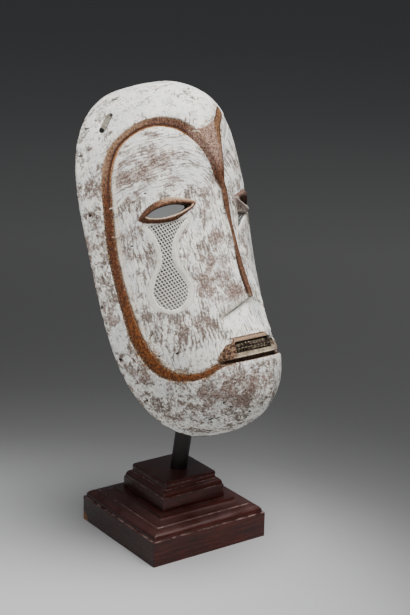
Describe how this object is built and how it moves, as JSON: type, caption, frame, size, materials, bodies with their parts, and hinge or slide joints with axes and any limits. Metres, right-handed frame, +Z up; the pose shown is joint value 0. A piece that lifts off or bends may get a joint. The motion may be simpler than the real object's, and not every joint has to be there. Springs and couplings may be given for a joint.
{
  "type": "carved mask on stand",
  "caption": "Tall oval carved wooden face mask, hollow at the back, whitened over brown, held leaning on a round rod above a stepped square moulded wooden stand.",
  "frame": {"origin": "middle of the stand's underside, on the surface it rests on", "axes": "+Z up, X and Y along the stand's sides; the mask looks toward -Y, turned 15 degrees toward +X"},
  "size_m": [0.221, 0.2403, 0.5062],
  "materials": {
    "chalked_wood": "matt chalk over carved wood, worn",
    "blackened_rod": "satin, stained near black",
    "dark_mahogany": "polished dark red brown"
  },
  "bodies": {
    "root": {"mask": "chalked_wood", "rod": "blackened_rod", "base_upper": "dark_mahogany", "base_lower": "dark_mahogany"}
  },
  "joints": []
}
